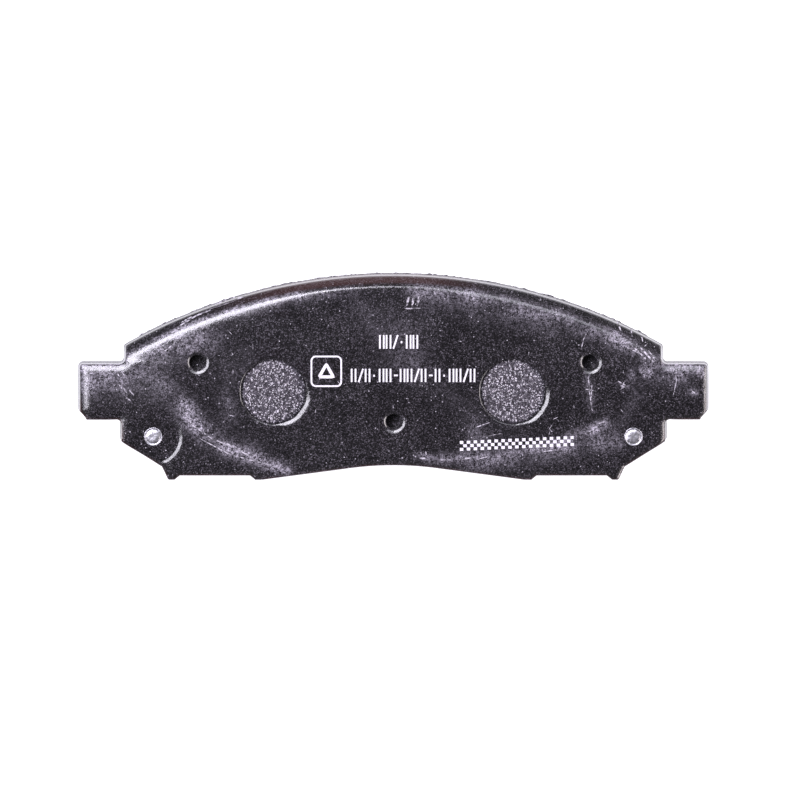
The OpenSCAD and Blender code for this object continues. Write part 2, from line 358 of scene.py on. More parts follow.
def scratchedEnamel():
    # Enamel scratched by a steel edge: its powder is pale and matt, and stops and starts along the line.
    material, add, place = newMaterial("scratched_enamel")
    skip = add("TexNoise", {"Vector": place, "Scale": 1 / 0.8, "Detail": 3.0})
    bare = add("MapRange", {"Value": skip, "From Min": 0.40, "From Max": 0.60})
    colour = add("Mix", {0: bare, 6: "#3b383e", 7: "#b5b0bb"})
    return withSurface(material, {"Base Color": colour, "Roughness": 0.6, "IOR": 1.5})


def bakedAdhesive():
    # Phenolic adhesive, pressed and cured: a thin brown line with a dry edge.
    material, add, place = newMaterial("cured_phenolic_adhesive")
    run = add("TexNoise", {"Vector": place, "Scale": 1 / 1.2, "Detail": 3.0})
    colour = add("Mix", {0: run, 6: "#3d2e23", 7: "#7a5d45"})
    return withSurface(material, {"Base Color": colour, "Roughness": 0.7, "IOR": 1.55})


def granularLining(name, grain, darkest, middle, palest, paleShare, roughness):
    # Resin-bonded lining, hot pressed: each grain of filler keeps its own shade, a few are pale,
    # and the resin between them is nearly black.
    material, add, place = newMaterial(name)
    cells = add("TexVoronoi", {"Vector": place, "Scale": 1 / grain})
    shade = add("SeparateColor", {0: cells.outputs["Color"]})
    body = add("Mix", {0: shade, 6: darkest, 7: middle})
    pale = add("MapRange", {"Value": shade.outputs[1], "From Min": 1 - paleShare,
                            "From Max": 1 - 0.5 * paleShare})
    colour = add("Mix", {0: pale, 6: body, 7: palest})
    fine = add("TexNoise", {"Vector": place, "Scale": 1 / (0.6 * grain), "Detail": 3.0})
    gaps = add("MapRange", {"Value": fine, "From Min": 0.56, "From Max": 0.42})
    resin = add("Mix", {0: gaps, 6: colour, 7: "#0a090b"})
    relief = add("Bump", {"Height": fine, "Strength": 1.0, "Distance": 0.35 * grain * metresPerMm})
    return withSurface(material, {"Base Color": resin, "Roughness": roughness, "Specular IOR Level": 0.2,
                                  "Normal": relief})


def springSteel():
    # Hardened spring steel, cold rolled and blanked: grey, with fine rolling lines along the strip.
    material, add, place = newMaterial("cold_rolled_spring_steel")
    along = add("Mapping", {"Vector": place, "Scale": (1 / 0.25, 1 / 4, 1 / 0.25)})
    lines = add("TexNoise", {"Vector": along, "Scale": 1.0, "Detail": 3.0})
    colour = add("Mix", {0: lines, 6: "#6f7176", 7: "#a3a5aa"})
    gloss = add("MapRange", {"Value": lines, "To Min": 0.26, "To Max": 0.46})
    relief = add("Bump", {"Height": lines, "Strength": 0.6, "Distance": 0.01 * metresPerMm})
    return withSurface(material, {"Base Color": colour, "Metallic": 1.0, "Roughness": gloss,
                                  "Normal": relief})


def zincedRivet():
    # Zinc-plated steel, hammered over: bright silver, with small facets and dull specks in the dents.
    material, add, place = newMaterial("zinc_plated_hammered_steel")
    dents = add("TexNoise", {"Vector": place, "Scale": 1 / 0.5, "Detail": 3.0})
    colour = add("Mix", {0: dents, 6: "#77767c", 7: "#c4c3c9"})
    gloss = add("MapRange", {"Value": dents, "To Min": 0.5, "To Max": 0.3})
    relief = add("Bump", {"Height": dents, "Strength": 1.0, "Distance": 0.03 * metresPerMm})
    return withSurface(material, {"Base Color": colour, "Metallic": 1.0, "Roughness": gloss,
                                  "Normal": relief})


enamel = blackEnamel()
ink = whiteInk()
scratched = scratchedEnamel()
adhesive = bakedAdhesive()
underlayerMix = granularLining("moulded_underlayer_mix", 0.3, "#19171b", "#6a6570", "#dad5e0", 0.24, 0.7)
frictionMix = granularLining("ground_friction_mix", 0.7, "#2b2b2c", "#5c5a59", "#a89a83", 0.10, 0.75)
strip = springSteel()
zinc = zincedRivet()
print("materials made")


# The steel plate, blanked from sheet: its top edge is drawn down, and its wall leans out to a rough
# lower edge.
plate = {
    "halfLength": plateHigh[0],
    "halfBody": 72.7,
    "archRadius": 147.0,
    "chamfer": 2.8,
    "chamferBlend": (1.7, 0.45, 1.25),      # how softly it runs into the back face: left, middle, right
    "earHalf": 7.7,
    "earCut": 2.3,
    "earRound": 1.5,
    "rootFillet": 1.1,
    "shoulderRound": 1.2,
    "lowerStep": 1.1,
    "lowerShoulderY": 13.5,
    "footY": 24.0,
    "footWidth": 2.0,
    "footSlope": 1.4,
    "footStep": 1.15,
    "outerFootX": 60.8,
    "outerRun": 1.8,
    "outerRise": 3.6,
    "middleFootX": 35.3,
    "hollowRise": 4.7,
    "hollowRound": 88.0,
    "lean": 0.3,                    # how far in the wall's top is; along the lower edge it is nearly upright
    "endLean": 0.7,                 # and this much at the two ends
    "drawWidth": 3.4,               # how far in the blanked edge is drawn down, and by how much
    "drawDepth": 0.75,
    "edgeWidth": 0.3,
    "edgeDepth": 0.25,
    "tornHeight": 3.4,              # how high the torn part of the wall reaches, and how much less on the arch
    "tornLower": 1.5,
    "tearing": 0.025,               # roughness of the torn part
    "lowerEdge": 0.15,              # the wall's lower edge is broken by this much
    "scuffAndHighlightDepth": 3.4,                # how far below the back face the rubbing and the painted highlights reach
    "dishing": 0.02,
}
earY = plateLow[1] + plate["footY"]                     # middle of the ears
archY = plateHigh[1] - plate["archRadius"]              # axis of the disc
chamferRadius = plate["archRadius"] - plate["chamfer"]

# The key holes' edge is drawn in furthest on one side; the recesses have a funnel above a straight bore,
# and each pushes out a knob below the plate, which ends a little above the blocks.
keyHole = {"radius": 8.7, "x": 32.2, "slope": 0.27, "narrow": 0.5, "wide": 1.35, "toward": (-38, -28),
           "spread": (0.62, 0.97)}
recess = {"bore": 1.95, "depth": 4.0, "x": 52.8, "up": 7.9, "down": 8.1, "knobRadius": 3.0, "knobLift": 0.7,
          "steps": (0.0, 0.15, 0.6, 1.25, 1.38), "drops": (0.64, 0.44, 0.19, 0.015, 0.0)}
rivetHole = {"radius": 2.2, "mouth": 2.55, "sink": 0.7, "coinRadius": 7.5, "coinDepth": 0.22,
             "coinLean": (0.77, -0.64)}

keyCentres = [np.array([side * keyHole["x"], earY]) for side in (-1, 1)]
recessCentres = [np.array([-recess["x"], earY + recess["up"]]), np.array([0.0, earY - recess["down"]]),
                 np.array([recess["x"], earY + recess["up"]])]
rightRivet = np.array([64.6, earY - 12.2])
rivetCentres = [rightRivet * (-1, 1), rightRivet]


# The round between the hollow's two slopes, from fromX to where the right slope starts.
def hollowCorners(lift, fromX):
    slope = plate["hollowRise"] / plate["middleFootX"]
    radius, stretch = plate["hollowRound"], math.hypot(1, slope)
    centreY = earY - plate["footY"] + lift + plate["hollowRise"] - radius * stretch
    return arcCorners(centreY, radius, fromX, radius * slope / stretch)


def plateCorners():
    p = plate
    foot = earY - p["footY"]
    low = p["halfBody"] + p["lowerStep"]
    innerFoot = p["outerFootX"] - p["footWidth"]
    middleFoot = p["middleFootX"] + p["footWidth"]
    shoulderY = archY + math.sqrt(p["archRadius"] ** 2 - p["halfBody"] ** 2)
    return mirrored([
        *hollowCorners(0, 0),
        (p["middleFootX"], foot, 0),
        (middleFoot, foot, 0.4),
        (middleFoot + p["footSlope"], foot + p["footStep"], 0.4),
        (innerFoot - p["footSlope"], foot + p["footStep"], 0.4),
        (innerFoot, foot, 0.4),
        (p["outerFootX"], foot, 0.8),
        (p["outerFootX"] + p["outerRun"], foot + p["outerRise"], 0.8),
        (low, earY - p["lowerShoulderY"], p["shoulderRound"]),
        (low, earY - p["earHalf"], p["rootFillet"]),
        (p["halfLength"] - p["earCut"], earY - p["earHalf"], p["earCut"] / 3),
        (p["halfLength"], earY - p["earHalf"] + p["earCut"], p["earCut"] / 3),
        (p["halfLength"], earY + p["earHalf"], p["earRound"]),
        (p["halfBody"], earY + p["earHalf"], p["rootFillet"]),
        (p["halfBody"], shoulderY, p["shoulderRound"]),
        *arcCorners(archY, p["archRadius"], p["halfBody"] - 1.3, 0),
    ])


plateLoop = outlineFrom(plateCorners(), 0.7)
plateNormals = inwardNormals(plateLoop)
leans = plate["lean"] + (plate["endLean"] - plate["lean"]) * softStep(abs(plateNormals[:, 0]), 0.6, 1.0)
leans = 0.03 + leans * (1 - softStep(plateNormals[:, 1], 0.75, 0.98))
leans *= 0.3 + 0.7 * softStep(plateLoop[:, 1], earY - 22, earY - 17)      # the feet are steeper
for _ in range(6):         # eased round the corners, so that none of them comes to a point
    leans = (np.roll(leans, 1) + leans + np.roll(leans, -1)) / 3
topLoop = plateLoop + plateNormals * leans[:, None]


# How far past the chamfer's start a place is, towards the arch.
def pastChamfer(flat):
    return np.hypot(flat[:, 0], flat[:, 1] - archY) - chamferRadius


# One along the arch, nought at the ears and below.
def nearArch(flat):
    return softStep(flat[:, 1], earY + 8, earY + 9)


# Height of the back face anywhere on it.
def backHeight(points):
    p = plate
    x, y = points[:, 0], points[:, 1]
    fromEdge = distanceTo(points, topLoop)
    fromEdge = np.where(fromEdge < 0.005, 0, fromEdge)
    earTop = earY + p["earHalf"]
    onArch = softStep(y, earTop - 0.2, earTop + 1.0)
    onArch *= 1 - softStep(abs(x), p["halfBody"], p["halfBody"] + 1)
    past = pastChamfer(points)
    left, middle, right = p["chamferBlend"]
    blend = middle + (left - middle) * (1 - softStep(x, -44, -14)) + (right - middle) * softStep(x, 2, 22)
    drop = onArch * (past + np.sqrt(past ** 2 + blend ** 2)) / 2
    crisp = softStep(-x, 66, 72) * softStep(earY - y, 5, 9)       # the lower left side stays square
    draw = p["drawDepth"] * (1 - 0.9 * onArch) * (1 - 0.8 * crisp)
    drop += draw * np.clip(1 - fromEdge / p["drawWidth"], 0, 1) ** 2.5
    drop += edgeRound(fromEdge, p["edgeWidth"], p["edgeDepth"])
    for centre, toward in zip(keyCentres, keyHole["toward"]):
        away = points - centre
        distance = np.linalg.norm(away, axis=1)
        facing = away @ (math.cos(math.radians(toward)), math.sin(math.radians(toward))) / distance
        widened = softStep(facing, *keyHole["spread"])
        width = keyHole["narrow"] + (keyHole["wide"] - keyHole["narrow"]) * widened
        fromHole = distance - keyHole["radius"]
        fromHole = np.where(fromHole < 0.005, 0, fromHole)
        slope = keyHole["slope"] * (1 + 1.1 * softStep(-facing, 0.2, 0.8))
        drop += slope * np.clip(width - fromHole, 0, None) + edgeRound(fromHole, 0.16, 0.16)
    for centre in recessCentres:
        fromBore = awayFrom(points, centre) - recess["bore"]
        drop += np.interp(fromBore, recess["steps"], recess["drops"])
    fromRivet = awayFrom(points, rivetCentres[0])
    seat = 1 - np.clip((fromRivet - rivetHole["coinRadius"] + 0.45) / 0.75, 0, 1)
    across = (points - rivetCentres[0]) @ rivetHole["coinLean"] / (2 * rivetHole["coinRadius"])
    tilted = np.clip(0.5 + across, 0, 1)
    drop += seat * tilted * rivetHole["coinDepth"]
    return backZ - drop + p["dishing"] * wobble(points, 11, 2)


# Where handling has rubbed the enamel, and where highlights are painted on the gently bent face along the arch
# and the upper-left shoulder: lines in x, y, each with its half width and strength.
scuffsAndHighlights = [
    ([(-56.5, -7), (-54.5, -12), (-50, -16.5), (-41, -20.5), (-29, -25)], 1.5, 1.25),
    ([(-56, -8), (-53.5, -12.5)], 2.2, 0.7),
    ([(-56, -9), (-49, -16.5), (-38, -21)], 3, 0.35),
    ([(10, -22.2), (28, -21), (48, -17), (57, -13)], 1.2, 0.65),
    ([(20, -23.5), (36, -21.5), (52, -18.5), (60, -17)], 2.2, 0.5),
    # Painted highlights: a broad sheen from the left ear over the upper-left shoulder and along the crest.
    ([(-76, 4), (-70, 7), (-62, 11), (-52, 16)], 2.6, 1),
    ([(-62, 11.5), (-48, 17), (-36, 20.5), (-26, 22.4)], 1.7, 0.8),
    ([(-74, 3), (-68, 1), (-62, -3)], 3.4, 0.5),
    ([(-66, 9), (-58, 8), (-50, 11)], 3.8, 0.65),
    ([(-84, 3), (-82.5, -1), (-81.5, -4)], 2, 0.9),
    ([(-83, 4), (-76, 3)], 2.2, 0.8),
    ([(-80, 0), (-74, -2)], 3, 0.55),
    ([(-8, 17), (2, 10), (6, 2)], 4, 0.16),
    ([(2, 12), (2, 7)], 6, 0.14),
    ([(56, -18), (62, -11), (66, -3)], 2, 0.14),
    ([(58, 13), (64, 9), (69, 4), (71, 1)], 2, 0.5),
    ([(82.6, 2.6), (83.4, 1.2)], 0.8, 1),
    ([(70, 3), (76, 1.4)], 2.8, 0.75),
    ([(76, 3.4), (83, 3)], 2.2, 0.65),
    ([(82, 2.2), (82.8, 0.8)], 0.8, 1.4),
    ([(78.8, -0.2), (79.6, -0.4)], 0.8, 1),
    ([(79.9, -3.4), (81.2, -4)], 0.8, 1),
    ([(77.5, 2.8), (78.4, 2.7)], 0.9, 0.8),
    ([(63.8, 1.6), (64.2, -0.2)], 0.9, 0.9),
    ([(67.2, 1.8), (67.6, 1.1)], 0.7, 1.5),
    # Painted highlights along the arch's crest: narrow on the left, a broad dim band on the right.
    ([(-50, 16.2), (-28, 21.4), (-10, 23.6)], 1.3, 0.42),
    ([(6, 23.6), (22, 22.2), (42, 17.2), (62, 9.5)], 2.2, 0.7),
    ([(47.5, -15.6), (57, -12.2)], 0.9, 0.9),
    ([(33, -20.6), (46, -18.8)], 0.9, 0.7),
    ([(6, -21.2), (9.5, -21.6)], 0.8, 0.6),
    ([(10, 21), (28, 18), (44, 14)], 3.4, 0.16),
    ([(-40, 6), (-46, -2), (-44, -10)], 2.6, 0.2),
    ([(13, -3), (20, -9), (34, -15)], 3, 0.06),
    ([(22, -14), (26, -20)], 2.6, 0.35),
    ([(52.5, 0), (53, -8)], 0.9, 0.45),
    ([(61, -1.5), (63, -2.5)], 0.7, 0.5),
]


def scuffsAndHighlightsAt(points):
    total = np.zeros(len(points))
    for line, halfWidth, strength in scuffsAndHighlights:
        away = distanceTo(points, np.array(line, float), closed=False)
        total += strength * np.exp(-(away / halfWidth) ** 2)
    patchy = 0.65 + 0.6 * wobble(points, 5, 4) + 0.3 * wobble(points, 1.8, 5)
    return np.clip(total * patchy, 0, 1)


# The lower part of the blanked wall is torn, and the enamel on it is dull.
def tornAt(spots):
    split = plateZ + plate["tornHeight"] - plate["tornLower"] * nearArch(spots)
    onWall = distanceTo(spots[:, :2], plateLoop) < 0.6
    return onWall * (1 - softStep(spots[:, 2] - split, -0.3, 0.3))


# A brown line at the lower edges, and a painted brown reflection on the chamfer from well left of the middle
# to a little right of it.
def brownEdgeAndReflectionAt(spots):
    flat = spots[:, :2]
    lowerEdge = np.exp(-(distanceTo(flat, topLoop) / 0.35) ** 2) * (flat[:, 1] < earY - 2)
    chamfered = softStep(pastChamfer(flat), 0.2, 1.0) * nearArch(flat)
    along = softStep(flat[:, 0], -55, -20) * (1 - softStep(flat[:, 0], 5, 30))
    patchy = 0.6 + 0.8 * wobble(spots, 4, 80)
    return np.clip(0.7 * lowerEdge * patchy + 0.35 * chamfered * along, 0, 1)


def buildPlate():
    p = plate
    piece = PieceMesh()
    keyRings = [circleAt(c, keyHole["radius"], 120) for c in keyCentres]
    recessRings = [circleAt(c, recess["bore"], 64) for c in recessCentres]
    rivetRings = [circleAt(c, rivetHole["mouth"], 48) for c in rivetCentres]

    # Extra rows of points where the face bends: along every edge, the chamfer and the coined seat.
    extra = []
    for offset in (0.1, 0.22, 0.36, 0.6, 1.0, 1.5, 2.1, 2.8):
        row = topLoop + plateNormals * offset
        extra.append(row[distanceTo(row, topLoop) > 0.93 * offset])
    for past in (-2.2, -1.5, -1.0, -0.6, -0.25, 0.1, 0.5, 1.0, 1.6):
        radius = chamferRadius + past
        angles = np.arange(-0.5, 0.5, 0.8 / radius)
        row = np.stack([radius * np.sin(angles), archY + radius * np.cos(angles)], 1)
        row = row[(abs(row[:, 0]) < p["halfBody"] - 1) & isInside(row, topLoop)]
        extra.append(row[distanceTo(row, topLoop) > 0.3])
    for centres, radius, count, widths in (
            (keyCentres, keyHole["radius"], 110, (0.03, 0.08, 0.16, 0.3, 0.48, 0.7, 1.0, 1.3)),
            (recessCentres, recess["bore"], 60, (0.15, 0.3, 0.45, 0.6, 0.82, 1.04, 1.25, 1.38, 1.6)),
            (rivetCentres, rivetHole["mouth"], 40, (0.3,))):
        extra += [circleAt(centre, radius + width, count) for centre in centres for width in widths]
    for offset in (-0.6, -0.4, -0.25, -0.1, 0.05, 0.2, 0.4):
        row = circleAt(rivetCentres[0], rivetHole["coinRadius"] + offset, 90)
        row = row[isInside(row, topLoop)]
        extra.append(row[distanceTo(row, topLoop) > 0.5])
    circles = [(c, keyHole["radius"] + 1.3) for c in keyCentres]
    circles += [(c, recess["bore"] + 1.6) for c in recessCentres]
    circles += [(c, rivetHole["mouth"] + 0.3) for c in rivetCentres]
    grid = scatter(topLoop, 0.95, circles, margin=3.1, seed=3)
    nearChamfer = pastChamfer(grid) > -2.6
    nearSeat = abs(awayFrom(grid, rivetCentres[0]) - (rivetHole["coinRadius"] - 0.1)) < 0.9
    grid = grid[~nearChamfer & ~nearSeat]

    piece.sheet(backHeight, topLoop, keyRings + recessRings + rivetRings, np.concatenate([*extra, grid]))

    # The wall: burnished at the top, torn below, with a small broken lower edge.
    topZ = backHeight(topLoop)
    lowerEdgeZ = plateZ + p["lowerEdge"]
    rings = [withZ(topLoop, topZ)]
    for t in (0.1, 0.22, 0.36, 0.5, 0.64, 0.78, 0.9):
        torn = softStep(np.array([t]), 0.2, 0.4)[0] * p["tearing"]
        ring = withZ(plateLoop, topZ + (lowerEdgeZ - topZ) * t)
        shift = leans * (1 - t) ** 1.3 + torn * (1 + wobble(ring, 0.9, 8) + 0.6 * wobble(ring, 3.5, 9))
        rings.append(withZ(plateLoop + plateNormals * shift[:, None], ring[:, 2]))
    rings.append(withZ(plateLoop, lowerEdgeZ))
    lowerLoop = plateLoop + plateNormals * p["lowerEdge"]
    rings.append(withZ(lowerLoop, plateZ))
    piece.band(rings)

    # The lower face, with a knob under each recess.
    knobRings = [circleAt(c, recess["knobRadius"], 48) for c in recessCentres]
    rivetRingsBelow = [circleAt(c, rivetHole["radius"], 48) for c in rivetCentres]
    holesBelow = keyRings + knobRings + rivetRingsBelow
    centresBelow = keyCentres + recessCentres + rivetCentres
    circlesBelow = [(c, ring[0, 0] - c[0]) for c, ring in zip(centresBelow, holesBelow)]
    piece.sheet(plateZ, lowerLoop, holesBelow, scatter(lowerLoop, 3.5, circlesBelow, seed=4))
    knobZ = blockZ + recess["knobLift"]
    knobProfile = ((0, 0.3), (0.1, 0.08), (0.3, 0))         # how far in from its side, and up from its end
    for centre, ring in zip(recessCentres, knobRings):
        lower = [withZ(circleAt(centre, recess["knobRadius"] - inward, 48), knobZ + up)
                 for inward, up in knobProfile]
        piece.band([withZ(ring, plateZ), *lower])
        piece.cap(lower[-1], (*centre, knobZ))

    # Hole walls.
    for ring in keyRings:
        top = withZ(ring, backHeight(ring))
        piece.band([top, withZ(ring, backZ - 2.4), withZ(ring, plateZ)])
    bore, floor = recess["bore"] - 0.01, recess["depth"]        # straight, with a flat floor
    profile = ((bore, 0.8), (bore, 2.4), (bore, floor - 0.03),
               (bore - 0.03, floor), (1.4, floor), (0.7, floor))
    for centre, ring in zip(recessCentres, recessRings):
        walls = [withZ(circleAt(centre, radius, 64), backZ - depth) for radius, depth in profile]
        piece.band([withZ(ring, backHeight(ring)), *walls])
        piece.cap(walls[-1], (*centre, backZ - floor))
    for centre, ring, below in zip(rivetCentres, rivetRings, rivetRingsBelow):
        top = withZ(ring, backHeight(ring))
        piece.band([top, withZ(below, top[:, 2].mean() - rivetHole["sink"]), withZ(below, plateZ)])

    made = piece.build("steel_plate", enamel, sharpAngle=40)
    spots = np.array([v.co for v in made.data.vertices]) / metresPerMm
    onTop = spots[:, 2] > backZ - p["scuffAndHighlightDepth"]
    onTop = onTop * (1 - nearArch(spots) * softStep(pastChamfer(spots), 0.3, 1.0))
    for centre in recessCentres:
        onTop = onTop * (awayFrom(spots[:, :2], centre) > recess["bore"] + 0.7)
    # The rubbed shade holds scuffs and painted highlights; the browned shade holds a brown line at the lower
    # edges and a painted brown reflection on the chamfer.
    shades = {"scuffAndHighlight": scuffsAndHighlightsAt(spots[:, :2]) * onTop, "brownEdgeAndReflection": brownEdgeAndReflectionAt(spots), "torn": tornAt(spots)}
    for name, shade in shades.items():
        made.data.attributes.new(name, "FLOAT", "POINT").data.foreach_set("value", shade.astype(np.float32))
    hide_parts("backing_plate")
    return made


steelPlate = buildPlate()
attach(steelPlate, "root")
print("plate made")


# Marks and scratches lie on the enamel, about a hundredth of a millimetre proud of it.
def ribbon(piece, line, width, lift, taper=True, step=0.5):
    line = np.array(line, float)
    points = [line[0]]
    for a, b in zip(line, line[1:]):
        pieces = max(1, math.ceil(np.linalg.norm(b - a) / step))
        points += [a + (b - a) * (k + 1) / pieces for k in range(pieces)]
    points = np.array(points)
    ahead = unitRows(np.gradient(points, axis=0))
    side = np.stack([-ahead[:, 1], ahead[:, 0]], 1)
    t = np.linspace(0, 1, len(points))
    half = width / 2 * (np.sqrt(np.clip(1 - (2 * t - 1) ** 4, 0.02, 1)) if taper else np.ones(len(points)))
    left, right = points + side * half[:, None], points - side * half[:, None]
    both = np.concatenate([left, right])
    n = len(points)
    faces = [(i, i + 1, n + i + 1, n + i) for i in range(n - 1)]
    piece.add(withZ(both, backHeight(both) + lift), faces)


# Printed marks: upright and slanting bars, dots, dashes and simple shapes, none of them lettering.
marks = {
    "lift": 0.012,
    "stroke": 0.46,
    "rows": [
        {"start": (-3.6, 7.9), "height": 3.7, "pitch": 1.8, "pattern": "||/.||"},
        {"start": (-11.2, -1.1), "height": 3.6, "pitch": 1.88, "pattern": "|/|.||:||/|:|.||/|"},
    ],
    "frame": {"centre": (-18.0, 1.8), "half": 4.0, "line": 0.45},
    "checks": {"start": (17.9, -19.3), "rise": 0.045, "pitch": 0.93, "columns": 33, "rows": 3},
    "stamp": {"centre": (5.3, 20.8), "size": 1.4},
}


def printMarks():
    piece = PieceMesh()
    lift, stroke = marks["lift"], marks["stroke"]
    for row in marks["rows"]:
        (x, y), height = row["start"], row["height"]
        shapes = {
            "|": [[(0, 0), (0, height)], [(1.05, 0), (1.05, height)]],
            "/": [[(0, 0), (1.2, height)]],
            ".": [[(0.4, 0.4 * height), (0.4, 0.55 * height)]],
            ":": [[(0.1, 0.5 * height), (1.1, 0.5 * height)]],
        }
        for mark in row["pattern"]:
            for line in shapes[mark]:
                ribbon(piece, np.array(line) + (x, y), stroke, lift, taper=False)
            x += row["pitch"]
    f = marks["frame"]
    cx, cy = f["centre"]
    half = f["half"]
    corners = ((-1, -1), (1, -1), (1, 1), (-1, 1))
    square = outlineFrom([(cx + i * half, cy + j * half, 1.2) for i, j in corners], 0.5)
    ribbon(piece, np.vstack([square, square[:1]]), f["line"], lift, taper=False)
    triangle = [(cx - 1.9, cy - 1.5), (cx + 1.9, cy - 1.5), (cx, cy + 1.9), (cx - 1.9, cy - 1.5)]
    ribbon(piece, triangle, 0.8, lift, taper=False)
    c = marks["checks"]
    for i in range(c["columns"]):
        for j in range(c["rows"]):
            if (i + j) % 2 == 0:
                x = c["start"][0] + i * c["pitch"]
                y = c["start"][1] + j * c["pitch"] + i * c["pitch"] * c["rise"]
                ribbon(piece, [(x, y), (x + c["pitch"], y)], 0.8, lift, taper=False)
    made = piece.build("printed_marks", ink)
    return made


# A small stamp: three leaning bars pressed through the enamel, and a line under them.
def stampPlate():
    piece = PieceMesh()
    s = marks["stamp"]
    x, y = s["centre"]
    for k in (-1, 0, 1):
        foot = x + k * s["size"]
        ribbon(piece, [(foot - 0.3, y - s["size"]), (foot + 0.3, y + s["size"])], 0.55, marks["lift"])
    underline = [(x - 1.6 * s["size"], y - 1.5 * s["size"]), (x + 1.6 * s["size"], y - 1.4 * s["size"])]
    ribbon(piece, underline, 0.35, marks["lift"])
    made = piece.build("stamped_bars", scratched)
    return made


# Scratches: line, width.
scratches = [
    ([(52.4, 0.5), (52.9, -4), (53.5, -9)], 0.28),
    ([(53.4, -1.5), (53.1, -7)], 0.2),
    ([(51.6, -3), (54.6, -3.6)], 0.25),
    ([(61, -2), (62.4, -2.5)], 0.35),
    ([(60.2, 14.9), (61.2, 12.6)], 0.35),
    ([(63.9, 13.2), (64.2, 11)], 0.3),
    ([(66.6, 11.6), (67.1, 9.6)], 0.3),
    ([(62.6, 8.3), (66.9, 6.4)], 0.35),
    ([(64, 8.8), (68.4, 4.6)], 0.4),
    ([(66.4, 8.2), (70, 4.2)], 0.45),
    ([(68.6, 7.4), (70.4, 4.6)], 0.3),
    ([(60.3, -0.8), (63.1, -2.4)], 0.25),
    ([(62.3, -0.6), (61.2, -2.8)], 0.2),
    ([(75.7, 3.1), (76.1, -1), (75.2, -4.9)], 0.16),
    ([(52.2, 12.6), (51, 10.6), (50.4, 7.6)], 0.25),
    ([(67.6, 2.1), (67.8, 1.3)], 0.4),
    ([(81.6, 2.4), (82.6, 1.2)], 0.3),
    ([(80.2, -3.4), (81.2, -4.2)], 0.25),
    ([(-74.6, 1.8), (-73.6, 0.4)], 0.3),
    ([(-73.4, 2.2), (-71.6, -0.2)], 0.25),
    ([(-74.2, -1.2), (-72.8, -3)], 0.25),
    ([(-72.6, -2.6), (-71.4, -4.4)], 0.3),
    ([(-71, -3.2), (-69.8, -4.6)], 0.3),
    ([(-72, -5), (-70.6, -6.2)], 0.3),
    ([(-63, 8.4), (-60.4, 10.4)], 0.3),
    ([(-62.2, 6.6), (-60, 8.4)], 0.35),
    ([(-61, 7.6), (-58.6, 9.4)], 0.3),
    ([(12.5, -22.2), (15.5, -22.1)], 0.3),
    ([(17.6, -22), (21.5, -21.6)], 0.35),
    ([(23.2, -21.8), (25.4, -21.3)], 0.25),
    ([(40, -20), (43, -19.5)], 0.25),
    ([(51.5, -15), (53.2, -14.2)], 0.25),
    ([(55, -12.4), (57.3, -11.6)], 0.3),
    ([(-56.8, -8), (-54, -12.6), (-49, -16.6), (-41, -19.6)], 0.3),
    ([(-52, -16.4), (-44, -20.5), (-33, -23.6)], 0.25),
    ([(-46, -17), (-38, -21.5)], 0.3),
    ([(-58, 13.6), (-53, 16.3), (-49, 18.2)], 0.35),
    ([(-57, 14.8), (-54, 16.4)], 0.3),
    ([(-51, 18), (-45, 20.2), (-40, 21.8)], 0.4),
    ([(-48, 19.6), (-42.5, 21.6)], 0.3),
    ([(-60.5, 11.6), (-57.5, 13.4)], 0.4),
    ([(22, -13.4), (26, -12)], 0.25),
    ([(24, -16), (29, -15)], 0.2),
    ([(7.4, -19.8), (7.7, -20.9)], 0.3),
    ([(8.7, -19.8), (8.9, -20.8)], 0.3),
    ([(6.8, -21.6), (9.6, -21.9)], 0.4),
]


def scratchEnamel():
    piece = PieceMesh()
    rng = np.random.default_rng(5)
    for line, width in scratches:
        line = np.array(line, float)
        line[1:-1] += rng.normal(0, 0.15, line[1:-1].shape)
        ribbon(piece, line, width, 0.01)
    keepOut = [(c, 9.6) for c in keyCentres] + [(c, 4.4) for c in recessCentres + rivetCentres]
    for _ in range(45):         # short hairlines all over, from other parts in the same bin
        at = np.array([rng.uniform(-70, 70), rng.uniform(-22, 12)])
        turn, length = rng.uniform(0, math.pi), rng.uniform(0.6, 2.0)
        far = at + length * np.array([math.cos(turn), math.sin(turn)])
        both = np.array([at, far])
        clear = isInside(both, topLoop).all() and distanceTo(both, topLoop).min() > 1.0
        for centre, radius in keepOut:
            clear &= distanceTo(np.array([centre]), both, closed=False)[0] > radius
        if clear:
            ribbon(piece, both, rng.uniform(0.1, 0.18), 0.01)
    made = piece.build("scratches", scratched)
    return made


for marking in (printMarks(), stampPlate(), scratchEnamel()):
    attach(marking, "root")
print("marks and scratches made")


# The lining: underlayer and two blocks inside one outline, set in from the plate's edge.
lining = {
    "inset": 1.2,
    "flash": 0.4,               # how far the underlayer stands out past the blocks
    "cornerRound": 3.0,
    "endGap": 5.1,              # from a rivet's axis to the leaning end
    "lean": math.radians(18.6),
    "lowStep": 1.15,
    "slot": 3.0,
    "leadWidth": 9.0,
    "leadHeight": 3.0,
    "fillDepth": 1.2,           # how far below the back face the fillings end
    "seatGap": 0.05,
    "grain": 0.3,
    "grainHeight": 0.13,
}
alongEnd = np.array([math.sin(lining["lean"]), math.cos(lining["lean"])])
acrossEnd = np.array([math.cos(lining["lean"]), -math.sin(lining["lean"])])


